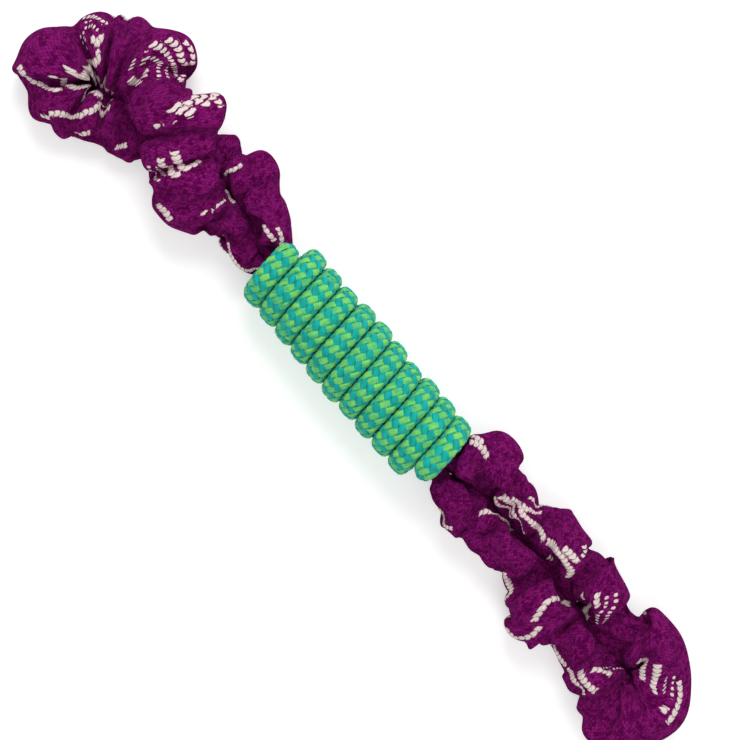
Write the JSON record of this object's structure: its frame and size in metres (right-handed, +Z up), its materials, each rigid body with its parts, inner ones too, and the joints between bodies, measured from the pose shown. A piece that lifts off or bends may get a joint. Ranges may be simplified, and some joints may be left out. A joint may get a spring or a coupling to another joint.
{
  "type": "bungee tug toy",
  "caption": "Stretchy pet tug toy: a gathered fabric sleeve over an elastic cord, looped at both ends and bound in the middle by a wound braided cord as a grip.",
  "frame": {"origin": "on the surface that the toy rests on, under the turn of the wound cord next to the grip's middle", "axes": "+X along the grip from end A to end B, +Y across the two strands of each end, +Z up from the resting surface"},
  "size_m": [0.4561, 0.0846, 0.041],
  "materials": {
    "grip_cord": "braided cord in two colours",
    "sleeve": "soft woven sleeve with pale tracer yarns",
    "elastic": "elastic cord with a plain braided cover",
    "thread": "tight sewing thread"
  },
  "bodies": {
    "grip": {"grip_cord": "grip_cord", "sleeve_inside_grip": "sleeve", "sleeve_end_a_inside_grip": "sleeve", "sleeve_end_b_inside_grip": "sleeve", "sleeve_seam_thread": "thread", "bungee_inside_grip": "elastic", "bungee_end_a_inside_grip": "elastic", "bungee_end_b_inside_grip": "elastic", "bungee_whipping": "thread"},
    "neck_a": {"sleeve_neck_a_front": "sleeve", "sleeve_neck_a_back": "sleeve", "bungee_neck_a_front": "elastic", "bungee_neck_a_back": "elastic"},
    "strand_a": {"sleeve_strand_a_front": "sleeve", "sleeve_strand_a_back": "sleeve", "bungee_strand_a_front": "elastic", "bungee_strand_a_back": "elastic"},
    "loop_a": {"sleeve_loop_a": "sleeve", "bungee_loop_a": "elastic"},
    "neck_b": {"sleeve_neck_b_front": "sleeve", "sleeve_neck_b_back": "sleeve", "bungee_neck_b_front": "elastic", "bungee_neck_b_back": "elastic"},
    "strand_b": {"sleeve_strand_b_front": "sleeve", "sleeve_strand_b_back": "sleeve", "bungee_strand_b_front": "elastic", "bungee_strand_b_back": "elastic"},
    "loop_b": {"sleeve_loop_b": "sleeve", "bungee_loop_b": "elastic"}
  },
  "joints": [
    {"name": "swing_a", "type": "hinge", "parent": "grip", "child": "neck_a", "pos_m": [-0.0708, 0, 0.017], "axis": [0, 0, 1], "range_deg": [-60, 60], "deforming": ["sleeve_neck_a_front", "sleeve_neck_a_back", "bungee_neck_a_front", "bungee_neck_a_back"]},
    {"name": "lift_a", "type": "hinge", "parent": "neck_a", "child": "strand_a", "pos_m": [-0.0918, 0, 0.017], "axis": [0, 1, 0], "range_deg": [-60, 60]},
    {"name": "stretch_a", "type": "slide", "parent": "strand_a", "child": "loop_a", "axis": [-1, 0, 0], "range_m": [0, 0.09], "stiffness_N_per_m": 600, "deforming": ["sleeve_strand_a_front", "sleeve_strand_a_back", "bungee_strand_a_front", "bungee_strand_a_back"]},
    {"name": "swing_b", "type": "hinge", "parent": "grip", "child": "neck_b", "pos_m": [0.059, 0, 0.017], "axis": [0, 0, 1], "range_deg": [-60, 60], "deforming": ["sleeve_neck_b_front", "sleeve_neck_b_back", "bungee_neck_b_front", "bungee_neck_b_back"]},
    {"name": "lift_b", "type": "hinge", "parent": "neck_b", "child": "strand_b", "pos_m": [0.08, 0, 0.017], "axis": [0, 1, 0], "range_deg": [-60, 60]},
    {"name": "stretch_b", "type": "slide", "parent": "strand_b", "child": "loop_b", "axis": [1, 0, 0], "range_m": [0, 0.09], "stiffness_N_per_m": 600, "deforming": ["sleeve_strand_b_front", "sleeve_strand_b_back", "bungee_strand_b_front", "bungee_strand_b_back"]}
  ]
}
